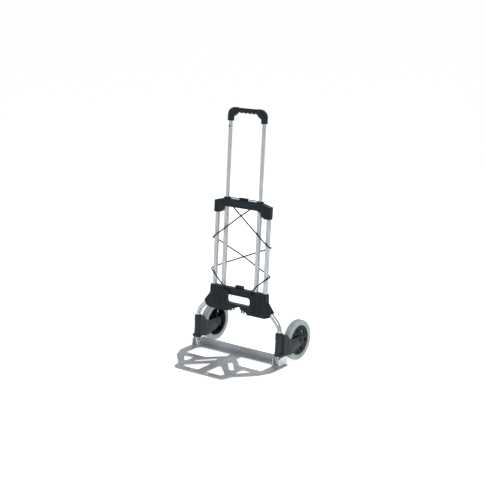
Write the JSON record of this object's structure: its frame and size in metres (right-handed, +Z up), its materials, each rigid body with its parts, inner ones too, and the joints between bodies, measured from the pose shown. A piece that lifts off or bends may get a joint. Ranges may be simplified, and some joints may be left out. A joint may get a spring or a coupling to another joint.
{
  "type": "folding hand truck",
  "caption": "Folding two-wheeled hand truck with a telescoping handle, a slotted aluminium toe plate, swing-in wheels and elastic cords.",
  "frame": {"origin": "on the floor, under the middle of the truck's bounding box", "axes": "+Z up, toe plate towards -Y, wheels towards +Y, +X to the right seen from the front"},
  "size_m": [0.5166, 0.508, 1.1043],
  "materials": {
    "tube": "anodised, fine lengthwise brushing",
    "plate": "mill finish with scuffs",
    "moulding": "fine moulded texture",
    "button": "satin",
    "grip": "soft matt",
    "tyre": "non-marking grey rubber",
    "bearing_plastic": "natural nylon",
    "steel": "zinc plated",
    "cord": "braided"
  },
  "bodies": {
    "frame": {"outer_tube_left": "tube", "outer_tube_right": "tube", "tube_end_plug_left": "bearing_plastic", "tube_end_plug_right": "bearing_plastic", "tube_top_cap_left": "moulding", "tube_top_cap_right": "moulding", "sleeve_tube_left": "tube", "sleeve_tube_right": "tube", "handle_collar_left": "moulding", "handle_collar_right": "moulding", "upper_shell_front": "moulding", "upper_shell_rear": "moulding", "lower_shell_front": "moulding", "lower_shell_rear": "moulding", "upper_screws": "steel", "lower_screws": "steel", "cord_clip_left": "moulding", "cord_clip_right": "moulding", "fork_collar_left": "moulding", "fork_collar_right": "moulding", "elastic_cord_left": "cord", "elastic_cord_right": "cord"},
    "handle": {"handle_tube_left": "tube", "handle_tube_right": "tube", "slide_bush_left": "bearing_plastic", "slide_bush_right": "bearing_plastic", "handle_corner_left": "moulding", "handle_corner_right": "moulding", "handle_grip": "grip", "handle_core": "steel", "handle_rivets": "steel"},
    "snap_button": {"snap_button": "button"},
    "release": {"release_button": "button", "release_bar": "button"},
    "lock_left": {"lock_rod_left": "steel"},
    "lock_right": {"lock_rod_right": "steel"},
    "fold_latch": {"fold_latch": "button"},
    "toe": {"toe_plate": "plate", "rear_flange": "plate", "hinge_ears_left": "plate", "hinge_ears_right": "plate", "pivot_pin_left": "steel", "pivot_pin_right": "steel", "flange_rivets": "steel", "plate_rivets": "steel", "ear_rivets": "steel"},
    "fork_left": {"wheel_fork_left": "moulding", "axle_left": "steel", "axle_cap_left": "moulding"},
    "wheel_left": {"tyre_left": "tyre", "wheel_hub_left": "moulding", "hub_bush_left": "bearing_plastic"},
    "fork_right": {"wheel_fork_right": "moulding", "axle_right": "steel", "axle_cap_right": "moulding"},
    "wheel_right": {"tyre_right": "tyre", "wheel_hub_right": "moulding", "hub_bush_right": "bearing_plastic"}
  },
  "joints": [
    {"name": "handle_slide", "type": "slide", "parent": "frame", "child": "handle", "axis": [0, 0.0767, 0.9971], "range_m": [-0.305, 0]},
    {"name": "snap_press", "type": "slide", "parent": "handle", "child": "snap_button", "axis": [0, 0.9971, -0.0767], "range_m": [0, 0.0025], "stiffness_N_per_m": 500, "springref_m": -0.002},
    {"name": "release_press", "type": "slide", "parent": "frame", "child": "release", "axis": [0, -0.0767, -0.9971], "range_m": [0, 0.004], "stiffness_N_per_m": 400, "springref_m": -0.004},
    {"name": "lock_left_slide", "type": "slide", "parent": "frame", "child": "lock_left", "axis": [1, 0, 0], "range_m": [0, 0.003]},
    {"name": "lock_right_slide", "type": "slide", "parent": "frame", "child": "lock_right", "axis": [-1, 0, 0], "range_m": [0, 0.003]},
    {"name": "fold_latch_press", "type": "slide", "parent": "frame", "child": "fold_latch", "axis": [0, -0.0767, -0.9971], "range_m": [0, 0.004], "stiffness_N_per_m": 400, "springref_m": -0.004},
    {"name": "toe_fold", "type": "hinge", "parent": "frame", "child": "toe", "pos_m": [0, 0.0282, 0.024], "axis": [-1, 0, 0], "range_deg": [0, 93]},
    {"name": "fork_left_swing", "type": "hinge", "parent": "frame", "child": "fork_left", "pos_m": [-0.226, 0.028, 0.021], "axis": [0, -0.0767, -0.9971], "range_deg": [0, 90]},
    {"name": "fork_right_swing", "type": "hinge", "parent": "frame", "child": "fork_right", "pos_m": [0.226, 0.028, 0.021], "axis": [0, 0.0767, 0.9971], "range_deg": [0, 90]},
    {"name": "wheel_left_spin", "type": "hinge", "parent": "fork_left", "child": "wheel_left", "pos_m": [-0.232, 0.164, 0.09], "axis": [1, 0, 0], "continuous": true},
    {"name": "wheel_right_spin", "type": "hinge", "parent": "fork_right", "child": "wheel_right", "pos_m": [0.232, 0.164, 0.09], "axis": [1, 0, 0], "continuous": true}
  ],
  "couplings": [
    {"joint": "lock_left_slide", "follows": "release_press", "ratio": 0.75},
    {"joint": "lock_right_slide", "follows": "release_press", "ratio": 0.75},
    {"joint": "fork_left_swing", "follows": "toe_fold", "ratio": 0.96774},
    {"joint": "fork_right_swing", "follows": "toe_fold", "ratio": 0.96774}
  ]
}
